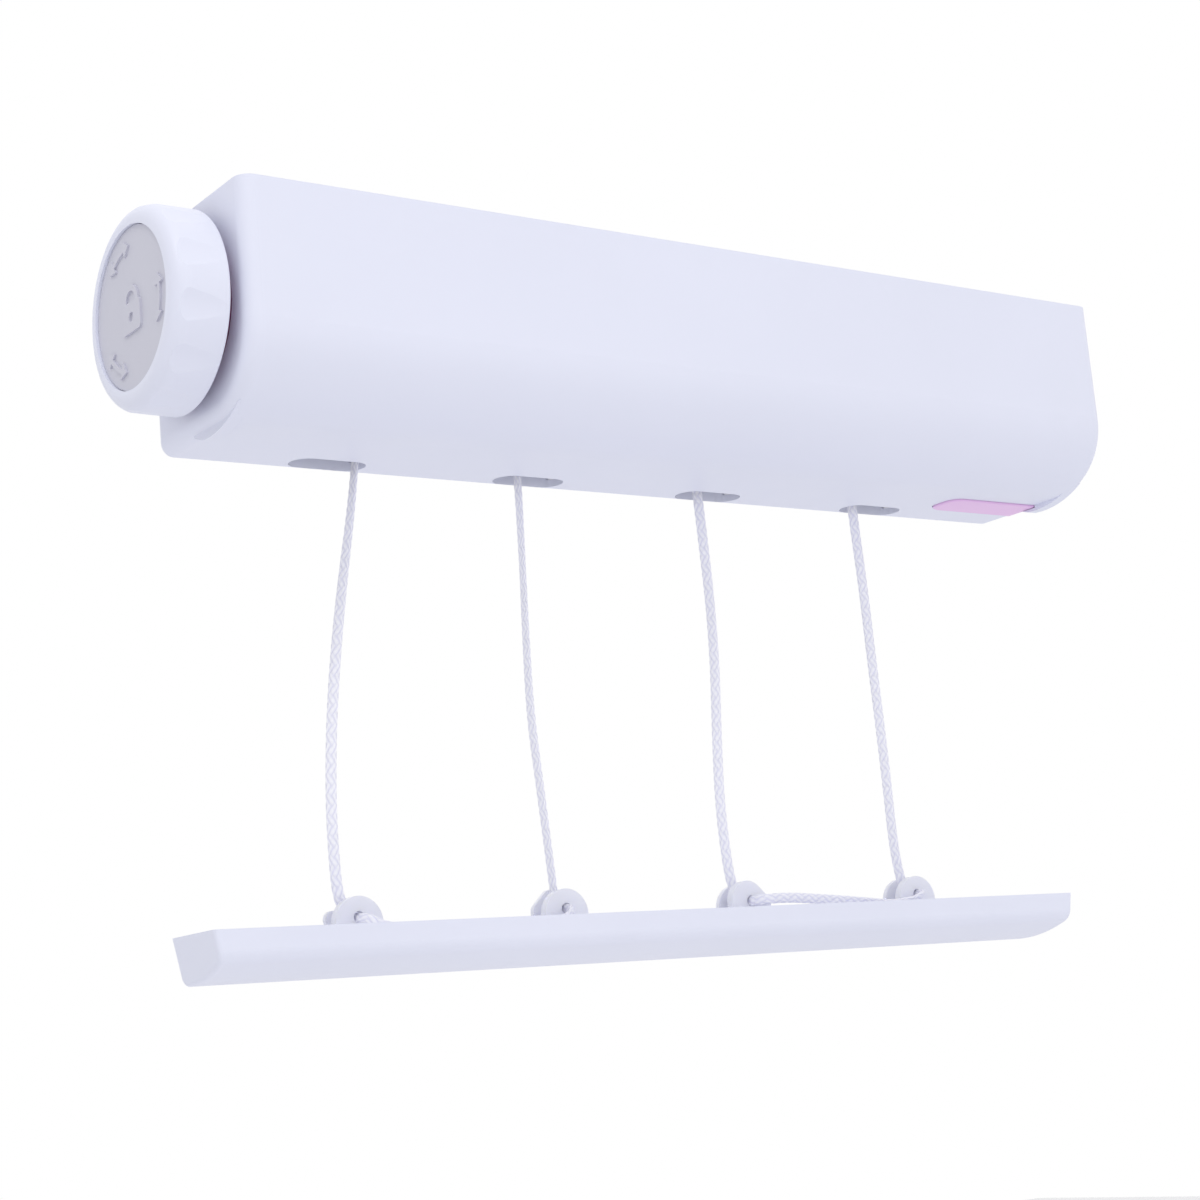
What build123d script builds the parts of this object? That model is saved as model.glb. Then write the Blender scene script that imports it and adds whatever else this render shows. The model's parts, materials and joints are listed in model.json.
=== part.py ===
from build123d import *
import os
from math import cos, degrees, pi, radians, sin, tan

# Four-line retractable clothesline reel, in millimetres.
# +X runs from the knob end to the button end, +Z points into the wall, the lines leave towards -Z.
# The origin is the centre of the wall plate's outer face, midway between the two keyholes.

os.makedirs("parts", exist_ok=True)

# Driving dimensions: the case
CASE_LENGTH = 360
CASE_DEPTH = 67
CASE_HEIGHT = 70
FRONT_RADIUS = 26
BACK_RADIUS = 2
END_RADIUS = 5
WALL = 2.5
GAP = 0.2
AXIS_Z = -34
FRONT_Y = -CASE_DEPTH / 2
BACK_Y = CASE_DEPTH / 2
LEFT_X = -CASE_LENGTH / 2
RIGHT_X = CASE_LENGTH / 2
FLOOR_Z = -CASE_HEIGHT + WALL

# Driving dimensions: the line slots and winding bays
SLOT_X = [-123.5, -45.5, 32.5, 110.5]
SLOT_Y = 26.05
SLOT_LENGTH = 27
SLOT_WIDTH = 11.5
GUIDE_TOP = -59
BAY_WIDTH = 28
FLANGE = 1.6
FLANGE_RADIUS = 26
CORE_RADIUS = 11
WOUND_RADIUS = 23
SHAFT_RADIUS = 4
RUNNING = 0.05

# Driving dimensions: the knob
KNOB_RADIUS = 31.5
KNOB_FRONT = -202
KNOB_REAR = -184
KNOB_WALL = 3
FACE_RADIUS = 25
KNOB_ROUNDING = 5
COLLAR_RADIUS = 22
END_BORE_RADIUS = 23.5
SCALLOPS = 12

# Driving dimensions: the pull bar
BAR_LEFT = -183.5
BAR_RIGHT = 171.5
BAR_FRONT = 4.5
BAR_TOP = -219.5
BAR_BOTTOM = -234.2
BAR_NOSE_Z = -225.6
BAR_NOSE_RADIUS = 4.5
BAR_NOSE_TURN = 67
BAR_CORNER = 3
BAR_DRAFT = 3
BAR_WALL = 2
TRAY_TOP = -223
TRAY = 2
HOOK_SPACING = 180
HOOK_RADIUS = 2.5
HOOK_Z = -228.9
BAR_MIDDLE = (BAR_LEFT + BAR_RIGHT) / 2

# Driving dimensions: the cord
CORD = 3.2


def save(piece, label):
    piece.part.label = label
    export_step(piece.part, f"parts/{label}.step")


def case_outline(x, inset, top):
    """The case's section at x, drawn inwards by inset: flat front, round lower front, flat underside."""
    with BuildSketch(Plane.YZ.offset(x)) as outline:
        with BuildLine():
            Line((FRONT_Y + inset, top), (FRONT_Y + inset, FRONT_RADIUS - CASE_HEIGHT))
            CenterArc((FRONT_Y + FRONT_RADIUS, FRONT_RADIUS - CASE_HEIGHT), FRONT_RADIUS - inset, 180, 90)
            corner = max(BACK_RADIUS - inset, 0.5)
            low = -CASE_HEIGHT + inset
            back = BACK_Y - inset
            Line((FRONT_Y + FRONT_RADIUS, low), (back - corner, low))
            CenterArc((back - corner, low + corner), corner, 270, 90)
            Line((back, low + corner), (back, top))
            Line((back, top), (FRONT_Y + inset, top))
        make_face()
    return outline.sketch


def disc(x, length, radius, mode=Mode.ADD, y=0, z=AXIS_Z):
    """A round bar along X, by default on the drum's axis."""
    with BuildSketch(Plane.YZ.offset(x)) as section:
        with Locations((y, z)):
            Circle(radius)
    extrude(section.sketch, amount=length, mode=mode)


def block(x, y, z, mode=Mode.ADD):
    """A box from its ranges along X, Y and Z."""
    with BuildSketch(Plane.XY.offset(z[0])) as section:
        with Locations(((x[0] + x[1]) / 2, (y[0] + y[1]) / 2)):
            Rectangle(x[1] - x[0], y[1] - y[0])
    extrude(section.sketch, amount=z[1] - z[0], mode=mode)


def post(x, y, low, high, radius, mode=Mode.ADD):
    """A round post along Z."""
    with BuildSketch(Plane.XY.offset(low)) as section:
        with Locations((x, y)):
            Circle(radius)
    extrude(section.sketch, amount=high - low, mode=mode)


def end_rim(part, side):
    """The edges round an end face of a case or bar, apart from its top edge."""
    face = part.faces().sort_by(Axis.X)[side]
    return face.edges().sort_by(Axis.Z)[:-1]


# Release button: a long opening with two round corners on the left and two square ones on the right
BUTTON_X = (131, 175)
BUTTON_Y = (1, 16.5)
BUTTON_CORNER = 5.5
BUTTON_FACE_Z = -70.8


def button_outline(z, clearance):
    length = BUTTON_X[1] - BUTTON_X[0] - 2 * clearance
    width = BUTTON_Y[1] - BUTTON_Y[0] - 2 * clearance
    with BuildSketch(Plane.XY.offset(z)) as outline:
        with Locations((sum(BUTTON_X) / 2, sum(BUTTON_Y) / 2)):
            Rectangle(length, width)
        fillet(outline.vertices().group_by(Axis.X)[0], BUTTON_CORNER - clearance)
    return outline.sketch


# End guards: a low hump under each end of the case, which keeps the button off a flat surface
GUARD = 4.2
GUARD_INSET = 2.2
GUARD_FRONT = (-20, -66.2)
GUARD_LOW = (0, -72.1)
GUARD_BACK = (5, -71.9)
GUARD_END = (11, -69.8)


def guard(x):
    with BuildSketch(Plane.YZ.offset(x)) as section:
        with BuildLine():
            ThreePointArc(GUARD_FRONT, GUARD_LOW, GUARD_BACK)
            Line(GUARD_BACK, GUARD_END)
            Line(GUARD_END, (GUARD_END[0], -CASE_HEIGHT + WALL))
            Line((GUARD_END[0], -CASE_HEIGHT + WALL), GUARD_FRONT)
        make_face()
    return section.sketch


# Wall plate fixing: six countersunk screws into bosses along both long walls
PLATE = 3
SCREW_X = [-173, 0, 173]
SCREW_Y = [-27.5, 27.5]
SCREW_PLACES = [(x, y) for x in SCREW_X for y in SCREW_Y]
BOSS_RADIUS = 4
BOSS_DEPTH = 16
SCREW_RADIUS = 1.3
SCREW_HEAD = 3
SCREW_HEAD_HEIGHT = 1.7
SCREW_DEPTH = 14

# Bearing plates stand in pairs of ribs
LEFT_PLATE_X = -168
RIGHT_PLATE_X = 163
BEARING_PLATE = 3
RIB = 1.6
RIB_DEPTH = 2
RIB_LOW = -40
SPRING_SEAT_Z = -58

with BuildPart() as housing_shell:
    extrude(case_outline(LEFT_X, 0, 0), amount=CASE_LENGTH)
    fillet(end_rim(housing_shell, 0), END_RADIUS)
    fillet(end_rim(housing_shell, -1), END_RADIUS)
    for x in (LEFT_X + GUARD_INSET, RIGHT_X - GUARD_INSET - GUARD):
        extrude(guard(x), amount=GUARD)
    extrude(case_outline(LEFT_X + WALL, WALL, 1), amount=CASE_LENGTH - 2 * WALL, mode=Mode.SUBTRACT)
    disc(LEFT_X - 1, WALL + 2, END_BORE_RADIUS, Mode.SUBTRACT)
    for x, y in SCREW_PLACES:
        post(x, y, -BOSS_DEPTH, -PLATE, BOSS_RADIUS)
        post(x, y, -SCREW_DEPTH, -PLATE, SCREW_RADIUS, Mode.SUBTRACT)
    for plate_x in (LEFT_PLATE_X, RIGHT_PLATE_X):
        for rib_x in (plate_x - RIB, plate_x + BEARING_PLATE):
            block((rib_x, rib_x + RIB), (FRONT_Y + WALL, FRONT_Y + WALL + RIB_DEPTH), (RIB_LOW, -PLATE - 1))
            block((rib_x, rib_x + RIB), (BACK_Y - WALL - RIB_DEPTH, BACK_Y - WALL), (RIB_LOW, -PLATE - 1))
    block((168, RIGHT_X - WALL), (4, 12.6), (SPRING_SEAT_Z, SPRING_SEAT_Z + 2))
    with BuildSketch(Plane.XY.offset(-CASE_HEIGHT - 1)):
        for x in SLOT_X:
            with Locations((x, SLOT_Y)):
                SlotOverall(SLOT_LENGTH, SLOT_WIDTH)
    extrude(amount=GUIDE_TOP + CASE_HEIGHT + 1, mode=Mode.SUBTRACT)
    extrude(button_outline(-CASE_HEIGHT - 1, 0), amount=WALL + 1, mode=Mode.SUBTRACT)
save(housing_shell, "housing_shell")

# Wall plate with two keyholes, the round entries on the origin's line
KEYHOLE_SPACING = 240
KEYHOLE_RADIUS = 4.5
KEYHOLE_SLOT = 5
KEYHOLE_RUN = 9
with BuildPart() as wall_plate:
    with BuildSketch(Plane.XY.offset(-PLATE)):
        Rectangle(CASE_LENGTH - 2 * (WALL + GAP), CASE_DEPTH - 2 * (WALL + GAP))
        with Locations((-KEYHOLE_SPACING / 2, 0), (KEYHOLE_SPACING / 2, 0)):
            Circle(KEYHOLE_RADIUS, mode=Mode.SUBTRACT)
        with Locations((-KEYHOLE_SPACING / 2, KEYHOLE_RUN / 2), (KEYHOLE_SPACING / 2, KEYHOLE_RUN / 2)):
            Rectangle(KEYHOLE_SLOT, KEYHOLE_RUN, mode=Mode.SUBTRACT)
        with Locations((-KEYHOLE_SPACING / 2, KEYHOLE_RUN), (KEYHOLE_SPACING / 2, KEYHOLE_RUN)):
            Circle(KEYHOLE_SLOT / 2, mode=Mode.SUBTRACT)
    extrude(amount=PLATE)
    with Locations(*[(x, y, 0) for x, y in SCREW_PLACES]):
        CounterSinkHole(SCREW_RADIUS, SCREW_HEAD, depth=PLATE, counter_sink_angle=90)
save(wall_plate, "wall_plate")

with BuildPart() as wall_plate_screws:
    for x, y in SCREW_PLACES:
        post(x, y, -SCREW_DEPTH, -SCREW_HEAD_HEIGHT, SCREW_RADIUS)
        with Locations((x, y, -SCREW_HEAD_HEIGHT / 2)):
            Cone(SCREW_RADIUS, SCREW_HEAD, SCREW_HEAD_HEIGHT)
        block((x - 1.8, x + 1.8), (y - 0.35, y + 0.35), (-1.2, 0), Mode.SUBTRACT)
        block((x - 0.35, x + 0.35), (y - 1.8, y + 1.8), (-1.2, 0), Mode.SUBTRACT)
save(wall_plate_screws, "wall_plate_screws")

# Line guides: the walled pockets inside the slots, which the cleats plug into
GUIDE_HALF = 15.5
GUIDE_Y = (18.3, 30.4)
for number, slot_x in enumerate(SLOT_X, 1):
    with BuildPart() as line_guide:
        block((slot_x - GUIDE_HALF, slot_x + GUIDE_HALF), GUIDE_Y, (FLOOR_Z, GUIDE_TOP))
        with BuildSketch(Plane.XY.offset(FLOOR_Z)):
            with Locations((slot_x, SLOT_Y)):
                SlotOverall(SLOT_LENGTH, SLOT_WIDTH)
        extrude(amount=GUIDE_TOP - FLOOR_Z, mode=Mode.SUBTRACT)
    save(line_guide, f"line_guide_{number}")

# Drum: shaft, magenta spool with four bays, and the line wound in each bay
SHAFT_LEFT = -192
SHAFT_RIGHT = 172.5
SPOOL_LEFT = -156
SPOOL_RIGHT = 131
FLAT_HALF = 3.2
FLAT_END = -172
END_SCREW_RADIUS = 1.6
END_SCREW_DEPTH = 8
with BuildPart() as drum_shaft:
    disc(SHAFT_LEFT, SHAFT_RIGHT - SHAFT_LEFT, SHAFT_RADIUS)
    block((SHAFT_LEFT, FLAT_END), (-5, 5), (AXIS_Z + FLAT_HALF, AXIS_Z + 5), Mode.SUBTRACT)
    block((SHAFT_LEFT, FLAT_END), (-5, 5), (AXIS_Z - 5, AXIS_Z - FLAT_HALF), Mode.SUBTRACT)
    disc(SHAFT_LEFT, END_SCREW_DEPTH, END_SCREW_RADIUS, Mode.SUBTRACT)
save(drum_shaft, "drum_shaft")

with BuildPart() as drum_spool:
    disc(SPOOL_LEFT, SPOOL_RIGHT - SPOOL_LEFT, CORE_RADIUS)
    for slot_x in SLOT_X:
        disc(slot_x - BAY_WIDTH / 2 - FLANGE, FLANGE, FLANGE_RADIUS)
        disc(slot_x + BAY_WIDTH / 2, FLANGE, FLANGE_RADIUS)
    disc(SPOOL_LEFT, SPOOL_RIGHT - SPOOL_LEFT, SHAFT_RADIUS, Mode.SUBTRACT)
save(drum_spool, "drum_spool")

for number, slot_x in enumerate(SLOT_X, 1):
    with BuildPart() as wound_line:
        disc(slot_x - BAY_WIDTH / 2, BAY_WIDTH, WOUND_RADIUS)
        disc(slot_x - BAY_WIDTH / 2, BAY_WIDTH, CORE_RADIUS, Mode.SUBTRACT)
    save(wound_line, f"wound_line_{number}")

# Bearings: two plates that drop into the ribs, each with a bush; the right one clears the button
BUSH_RADIUS = 6
HUB_RADIUS = 9
HUB_LENGTH = 7
LUG_CIRCLE = 25.6
LUG_PLACES = [(LUG_CIRCLE * cos(radians(a)), AXIS_Z + LUG_CIRCLE * sin(radians(a))) for a in (90, 210, 330)]
for label, plate_x, hub_x in (
    ("left_bearing_plate", LEFT_PLATE_X, LEFT_PLATE_X + BEARING_PLATE),
    ("right_bearing_plate", RIGHT_PLATE_X, RIGHT_PLATE_X + BEARING_PLATE),
):
    with BuildPart() as bearing_plate:
        extrude(case_outline(plate_x, WALL + GAP, -PLATE - GAP), amount=BEARING_PLATE)
        disc(hub_x, HUB_LENGTH, HUB_RADIUS)
        disc(plate_x, BEARING_PLATE + HUB_LENGTH, BUSH_RADIUS, Mode.SUBTRACT)
        if plate_x > 0:
            block((plate_x, hub_x), (-2, 19.5), (-CASE_HEIGHT, -56), Mode.SUBTRACT)
            for lug_y, lug_z in LUG_PLACES:
                disc(plate_x, BEARING_PLATE, SCREW_RADIUS, Mode.SUBTRACT, lug_y, lug_z)
    save(bearing_plate, label)

for label, bush_x in (("left_bush", LEFT_PLATE_X), ("right_bush", RIGHT_PLATE_X)):
    with BuildPart() as bush:
        disc(bush_x, BEARING_PLATE + HUB_LENGTH, BUSH_RADIUS)
        disc(bush_x, BEARING_PLATE + HUB_LENGTH, SHAFT_RADIUS + RUNNING, Mode.SUBTRACT)
    save(bush, label)

# Lock ring: rubber, gripped by the knob's collar when the knob is pushed in
LOCK_RING_X = -172.2
LOCK_RING_OUTER = 22.8
LOCK_RING_INNER = 17.5
with BuildPart() as lock_ring:
    disc(LOCK_RING_X, LEFT_PLATE_X - LOCK_RING_X, LOCK_RING_OUTER)
    disc(LOCK_RING_X, LEFT_PLATE_X - LOCK_RING_X, LOCK_RING_INNER, Mode.SUBTRACT)
save(lock_ring, "lock_ring")

# Knob: a scalloped cup with an inner web and hub that slides on the shaft's flats
RIM_INNER = 25.2
LEDGE_X = -199.5
LEDGE_INNER = 23.5
WEB_X = -190
WEB = 2.5
KNOB_HUB = 10
KNOB_HUB_LEFT = -191.9
KNOB_HUB_RIGHT = -178
SCALLOP_RADIUS = 30
SCALLOP_DEPTH = 1
SCALLOP_LEAN = 0.06
with BuildPart() as knob_cap:
    disc(KNOB_FRONT, KNOB_REAR - KNOB_FRONT, KNOB_RADIUS)
    fillet(knob_cap.faces().sort_by(Axis.X)[0].edges(), KNOB_ROUNDING)
    fillet(knob_cap.faces().sort_by(Axis.X)[-1].edges(), 1)
    for number in range(SCALLOPS):
        angle = radians(360 / SCALLOPS * (number + 0.5))
        outward = Vector(0, cos(angle), sin(angle))
        start = Vector(KNOB_FRONT, 0, AXIS_Z) + outward * (KNOB_RADIUS + SCALLOP_RADIUS - SCALLOP_DEPTH)
        leaning = (Vector(1, 0, 0) + outward * SCALLOP_LEAN).normalized()
        with Locations(Plane(origin=start + leaning * 8, z_dir=leaning)):
            Cylinder(SCALLOP_RADIUS, 24, mode=Mode.SUBTRACT)
    disc(LEDGE_X + 2, KNOB_REAR - LEDGE_X - 2, KNOB_RADIUS - KNOB_WALL - 1, Mode.SUBTRACT)
    disc(KNOB_FRONT - 1, LEDGE_X - KNOB_FRONT + 1, RIM_INNER, Mode.SUBTRACT)
    disc(LEDGE_X, 2, LEDGE_INNER, Mode.SUBTRACT)
    disc(WEB_X, WEB, KNOB_RADIUS - KNOB_WALL - 0.5)
    disc(KNOB_HUB_LEFT, KNOB_HUB_RIGHT - KNOB_HUB_LEFT, KNOB_HUB)
    with BuildSketch(Plane.YZ.offset(KNOB_HUB_LEFT)):
        with Locations((0, AXIS_Z)):
            Circle(SHAFT_RADIUS + RUNNING)
            Rectangle(20, 2 * (FLAT_HALF + RUNNING), mode=Mode.INTERSECT)
    extrude(amount=KNOB_HUB_RIGHT - KNOB_HUB_LEFT, mode=Mode.SUBTRACT)
save(knob_cap, "knob_cap")

# Knob face: an inset disc with three double-headed turn arrows and a padlock, all raised
FACE_X = -201
RAISED = 0.7
ARROW_RADIUS = 19.5
ARROW_HALF_SPAN = 12
ARROW_WIDTH = 1.5
HEAD_LENGTH = 3.4
HEAD_HALF = 2.6
ARROW_ANGLES = [68, 188, 308]
LOCK_WIDTH = 12.5


def polar(radius, angle):
    return (radius * cos(radians(angle)), AXIS_Z + radius * sin(radians(angle)))


with BuildPart() as knob_face:
    disc(FACE_X, LEDGE_X - FACE_X, FACE_RADIUS)
    with BuildSketch(Plane.YZ.offset(FACE_X - RAISED)):
        for middle in ARROW_ANGLES:
            with BuildLine():
                first = middle - ARROW_HALF_SPAN
                last = middle + ARROW_HALF_SPAN
                inner = ARROW_RADIUS - ARROW_WIDTH / 2
                outer = ARROW_RADIUS + ARROW_WIDTH / 2
                tip = degrees(HEAD_LENGTH / ARROW_RADIUS)
                CenterArc((0, AXIS_Z), outer, first, last - first)
                Polyline(polar(outer, last), polar(ARROW_RADIUS + HEAD_HALF, last),
                         polar(ARROW_RADIUS, last + tip), polar(ARROW_RADIUS - HEAD_HALF, last),
                         polar(inner, last))
                CenterArc((0, AXIS_Z), inner, first, last - first)
                Polyline(polar(outer, first), polar(ARROW_RADIUS + HEAD_HALF, first),
                         polar(ARROW_RADIUS, first - tip), polar(ARROW_RADIUS - HEAD_HALF, first),
                         polar(inner, first))
            make_face()
        with Locations((0, AXIS_Z + 2)):
            Circle(LOCK_WIDTH * 0.4)
            Circle(LOCK_WIDTH * 0.25, mode=Mode.SUBTRACT)
        with Locations((0, AXIS_Z - 3)):
            RectangleRounded(LOCK_WIDTH, LOCK_WIDTH * 0.75, 1.2)
            Circle(LOCK_WIDTH * 0.12, mode=Mode.SUBTRACT)
    extrude(amount=RAISED)
save(knob_face, "knob_face")

# Magenta collar: shows in the gap while the knob is out, and bears on the lock ring when it is in
COLLAR_RIGHT = -176
COLLAR_WALL = 3
with BuildPart() as knob_collar:
    disc(WEB_X + WEB, COLLAR_RIGHT - WEB_X - WEB, COLLAR_RADIUS)
    disc(WEB_X + WEB, COLLAR_RIGHT - WEB_X - WEB, COLLAR_RADIUS - COLLAR_WALL, Mode.SUBTRACT)
save(knob_collar, "knob_collar")

WASHER = 1.2
WASHER_RADIUS = 7
HEAD = 2.2
HEAD_RADIUS = 3.4
HEAD_SLOT = 1.2
with BuildPart() as shaft_washer:
    disc(SHAFT_LEFT - WASHER, WASHER, WASHER_RADIUS)
    disc(SHAFT_LEFT - WASHER, WASHER, END_SCREW_RADIUS, Mode.SUBTRACT)
save(shaft_washer, "shaft_washer")

with BuildPart() as shaft_screw:
    head_x = SHAFT_LEFT - WASHER - HEAD
    disc(head_x, HEAD, HEAD_RADIUS)
    disc(SHAFT_LEFT - WASHER, END_SCREW_DEPTH + WASHER, END_SCREW_RADIUS)
    block((head_x, head_x + HEAD_SLOT), (-2.2, 2.2), (AXIS_Z - 0.4, AXIS_Z + 0.4), Mode.SUBTRACT)
save(shaft_screw, "shaft_screw")

# Brake wheel on the drum's right end
WHEEL_X = 127
WHEEL_RADIUS = 24
with BuildPart() as brake_wheel:
    disc(WHEEL_X, SPOOL_RIGHT - WHEEL_X, WHEEL_RADIUS)
    disc(WHEEL_X, SPOOL_RIGHT - WHEEL_X, CORE_RADIUS, Mode.SUBTRACT)
save(brake_wheel, "brake_wheel")

# Spring case: a cup on the right bearing plate, with a cover, an arbor and the coiled mainspring
CUP_LEFT = 134
CUP_RADIUS = 24
CUP_WALL = 1.5
CUP_CLEARANCE = 0.6
LUG = 6
LUG_RADIUS = 3.4
LUG_HEAD = 1.8
LUG_HEAD_RADIUS = 2.4
with BuildPart() as spring_case:
    disc(CUP_LEFT, RIGHT_PLATE_X - CUP_LEFT, CUP_RADIUS)
    for lug_y, lug_z in LUG_PLACES:
        disc(RIGHT_PLATE_X - LUG, LUG, LUG_RADIUS, Mode.ADD, lug_y, lug_z)
        disc(RIGHT_PLATE_X - LUG, LUG, SCREW_RADIUS, Mode.SUBTRACT, lug_y, lug_z)
    disc(CUP_LEFT, RIGHT_PLATE_X - CUP_LEFT - CUP_WALL, CUP_RADIUS - CUP_WALL, Mode.SUBTRACT)
    disc(RIGHT_PLATE_X - CUP_WALL, CUP_WALL, SHAFT_RADIUS + CUP_CLEARANCE, Mode.SUBTRACT)
save(spring_case, "spring_case")

with BuildPart() as spring_case_cover:
    disc(CUP_LEFT - CUP_WALL, CUP_WALL, CUP_RADIUS)
    disc(CUP_LEFT - CUP_WALL, CUP_WALL, SHAFT_RADIUS + CUP_CLEARANCE, Mode.SUBTRACT)
save(spring_case_cover, "spring_case_cover")

with BuildPart() as spring_case_screws:
    for lug_y, lug_z in LUG_PLACES:
        disc(RIGHT_PLATE_X - LUG, LUG + BEARING_PLATE, SCREW_RADIUS, Mode.ADD, lug_y, lug_z)
        disc(RIGHT_PLATE_X + BEARING_PLATE, LUG_HEAD, LUG_HEAD_RADIUS, Mode.ADD, lug_y, lug_z)
save(spring_case_screws, "spring_case_screws")

ARBOR_RADIUS = 7.5
ARBOR_LEFT = 135.5
ARBOR_LENGTH = 25
with BuildPart() as spring_arbor:
    disc(ARBOR_LEFT, ARBOR_LENGTH, ARBOR_RADIUS)
    disc(ARBOR_LEFT, ARBOR_LENGTH, SHAFT_RADIUS, Mode.SUBTRACT)
save(spring_arbor, "spring_arbor")

# Mainspring: a strip coiled as half turns about two centres, one half pitch apart
STRIP_LEFT = 137
STRIP_WIDTH = 22
STRIP_HALF = 0.25
FIRST_RADIUS = 8.3
HALF_PITCH = 0.65
HALF_TURNS = 20
with BuildPart() as mainspring:
    with BuildSketch(Plane.YZ.offset(STRIP_LEFT)):
        with BuildLine():
            for side in (-STRIP_HALF, STRIP_HALF):
                for turn in range(HALF_TURNS):
                    centre = (HALF_PITCH * (turn % 2), AXIS_Z)
                    radius = FIRST_RADIUS + HALF_PITCH * turn + side
                    CenterArc(centre, radius, 180 * (turn % 2), 180)
            Line((FIRST_RADIUS - STRIP_HALF, AXIS_Z), (FIRST_RADIUS + STRIP_HALF, AXIS_Z))
            outer_end = FIRST_RADIUS + HALF_PITCH * HALF_TURNS
            Line((outer_end - STRIP_HALF, AXIS_Z), (outer_end + STRIP_HALF, AXIS_Z))
        make_face()
    extrude(amount=STRIP_WIDTH)
save(mainspring, "mainspring")

# Release button with its flange, and a post that lifts the brake lever
POST_X = 150
POST_RADIUS = 2
LEVER_LOW = -63
FLANGE_X = (140, 176.3)
FLANGE_Y = (-0.3, 17.8)
FLANGE_TOP = -66
with BuildPart() as release_button:
    extrude(button_outline(BUTTON_FACE_Z, 0.3), amount=FLANGE_TOP - 0.5 - BUTTON_FACE_Z)
    fillet(release_button.faces().sort_by(Axis.Z)[0].edges(), 0.6)
    block(FLANGE_X, FLANGE_Y, (FLOOR_Z + 0.1, FLANGE_TOP))
    post(POST_X, 8, FLANGE_TOP, LEVER_LOW - 0.3, POST_RADIUS)
save(release_button, "release_button")

SPRING_X = 172.5
COIL_RADIUS = 2.6
WIRE_RADIUS = 0.35
COIL_LOW = -65.6
COIL_HEIGHT = 7.2
with BuildPart() as button_spring:
    with BuildLine() as coil:
        Helix(pitch=1.44, height=COIL_HEIGHT, radius=COIL_RADIUS, center=(SPRING_X, 8.3, COIL_LOW))
    with BuildSketch(Plane(origin=coil.line @ 0, z_dir=coil.line % 0)):
        Circle(WIRE_RADIUS)
    sweep()
save(button_spring, "button_spring")

# Brake: bracket, pin, rocking lever and a pad shaped to the brake wheel
PIN_X = 136
PIN_Z = -62
PIN_RADIUS = 1
CHEEK_Y = [(-1.7, 0.5), (16.9, 19.1)]
CHEEK_X = (127.5, 138.5)
CHEEK_TOP = -59.5
BRIDGE_X = (127.5, 130.6)
BRIDGE_TOP = -66.3
BARREL_Y = (0.8, 16.6)
BARREL_RADIUS = 2.2
LEVER_X = (126.5, 152)
LEVER_Y = (3, 13)
LEVER = 2
PAD_TOP = -55
PAD_GAP = 0.3
PAD_SWING = 1.4


def crossbar(y, radius, mode=Mode.ADD):
    """A round bar along Y, on the brake lever's pin."""
    with BuildSketch(Plane.XZ.offset(-y[1])) as section:
        with Locations((PIN_X, PIN_Z)):
            Circle(radius)
    extrude(section.sketch, amount=y[1] - y[0], mode=mode)


PIN_Y = (CHEEK_Y[0][0], CHEEK_Y[1][1])
with BuildPart() as brake_bracket:
    block(BRIDGE_X, PIN_Y, (FLOOR_Z, BRIDGE_TOP))
    for cheek_y in CHEEK_Y:
        block(CHEEK_X, cheek_y, (FLOOR_Z, CHEEK_TOP))
    crossbar(PIN_Y, PIN_RADIUS, Mode.SUBTRACT)
save(brake_bracket, "brake_bracket")

with BuildPart() as brake_pin:
    crossbar(PIN_Y, PIN_RADIUS)
save(brake_pin, "brake_pin")

with BuildPart() as brake_lever:
    block(LEVER_X, LEVER_Y, (LEVER_LOW, LEVER_LOW + LEVER))
    crossbar(BARREL_Y, BARREL_RADIUS)
    crossbar(BARREL_Y, PIN_RADIUS + RUNNING, Mode.SUBTRACT)
save(brake_lever, "brake_lever")

with BuildPart() as brake_pad:
    block((WHEEL_X + PAD_SWING, SPOOL_RIGHT), LEVER_Y, (LEVER_LOW + LEVER, PAD_TOP))
    disc(WHEEL_X - 1, SPOOL_RIGHT - WHEEL_X + 2, WHEEL_RADIUS + PAD_GAP, Mode.SUBTRACT)
save(brake_pad, "brake_pad")


# Pull bar: an open-topped shell with a tray screwed into it, and two hook holes in its back
def bar_outline(x, inset, top):
    """The bar's section: flat front, tight nose, long gentle curve under it and a round back corner."""
    front = BAR_FRONT + inset
    back = BACK_Y - inset
    low = BAR_BOTTOM + inset
    nose = BAR_NOSE_RADIUS - inset
    corner = max(BAR_CORNER - inset, 0.8)
    with BuildSketch(Plane.YZ.offset(x)) as outline:
        with BuildLine():
            Line((front, top), (front, BAR_NOSE_Z))
            bend = CenterArc((front + nose, BAR_NOSE_Z), nose, 180, BAR_NOSE_TURN)
            TangentArc(bend @ 1, (back - corner, low), tangent=bend % 1)
            CenterArc((back - corner, low + corner), corner, 270, 90)
            Line((back, low + corner), (back, top))
            Line((back, top), (front, top))
        make_face()
    return outline.sketch


def bar_side(inset, top):
    """The bar from the front: its ends lean in by the draft towards the bottom."""
    lean = BAR_DRAFT / (BAR_TOP - BAR_BOTTOM)
    wide = inset - lean * (top - BAR_TOP)
    narrow = inset + BAR_DRAFT
    with BuildSketch(Plane.XZ.offset(-BACK_Y - 1)) as side:
        with BuildLine():
            Polyline((BAR_LEFT + wide, top), (BAR_RIGHT - wide, top), (BAR_RIGHT - narrow, BAR_BOTTOM),
                     (BAR_LEFT + narrow, BAR_BOTTOM), close=True)
        make_face()
    return side.sketch


BAR_SIDE_DEPTH = BACK_Y - BAR_FRONT + 2
with BuildPart() as bar_hollow:
    extrude(bar_outline(BAR_LEFT, BAR_WALL, BAR_TOP + 1), amount=BAR_RIGHT - BAR_LEFT)
    extrude(bar_side(BAR_WALL, BAR_TOP + 1), amount=BAR_SIDE_DEPTH, mode=Mode.INTERSECT)

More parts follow.
